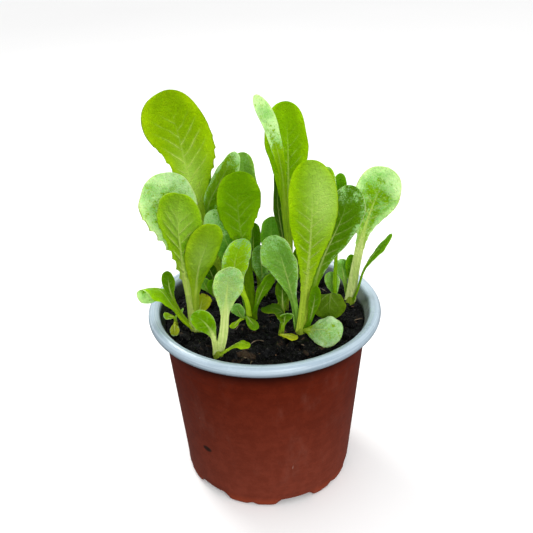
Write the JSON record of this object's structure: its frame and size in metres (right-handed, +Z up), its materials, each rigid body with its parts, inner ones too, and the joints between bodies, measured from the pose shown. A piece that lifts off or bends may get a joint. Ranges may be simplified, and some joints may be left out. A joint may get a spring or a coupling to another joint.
{
  "type": "potted romaine lettuce seedlings",
  "caption": "Small round nursery pot with a rolled rim, filled with dark compost, with young romaine lettuce seedlings of upright spoon-shaped leaves standing in it.",
  "frame": {"origin": "middle of the whole part's bounding box, at the level of the pot's feet; the pot's own axis is 2.9 mm to the -X side", "axes": "+Z up along the pot's axis; -Y is the near side in the picture; +X to the right"},
  "size_m": [0.1287, 0.1196, 0.2083],
  "materials": {
    "pot_plastic": "satin terracotta-brown outside, pale blue-grey inside and on the rolled rim",
    "compost": "damp, crumbly, near-black peat with brown chips and fibres",
    "leaf_bright": "bright yellow-green young leaf with pale veins and stalks, thin and translucent",
    "leaf_mid": "mid green leaf with pale veins, slightly glossy",
    "leaf_pale": "pale grey-green leaf with a soft sheen and pale stalks"
  },
  "bodies": {
    "root": {"pot": "pot_plastic", "compost": "compost", "seedling_left": "leaf_bright", "seedling_left_edge": "leaf_pale", "seedling_back_left": "leaf_bright", "seedling_front": "leaf_pale", "seedling_middle": "leaf_mid", "seedling_centre_small": "leaf_mid", "seedling_front_right": "leaf_bright", "seedling_back_middle": "leaf_bright", "seedling_back": "leaf_mid", "seedling_right": "leaf_pale", "seedling_right_low": "leaf_mid"}
  },
  "joints": []
}
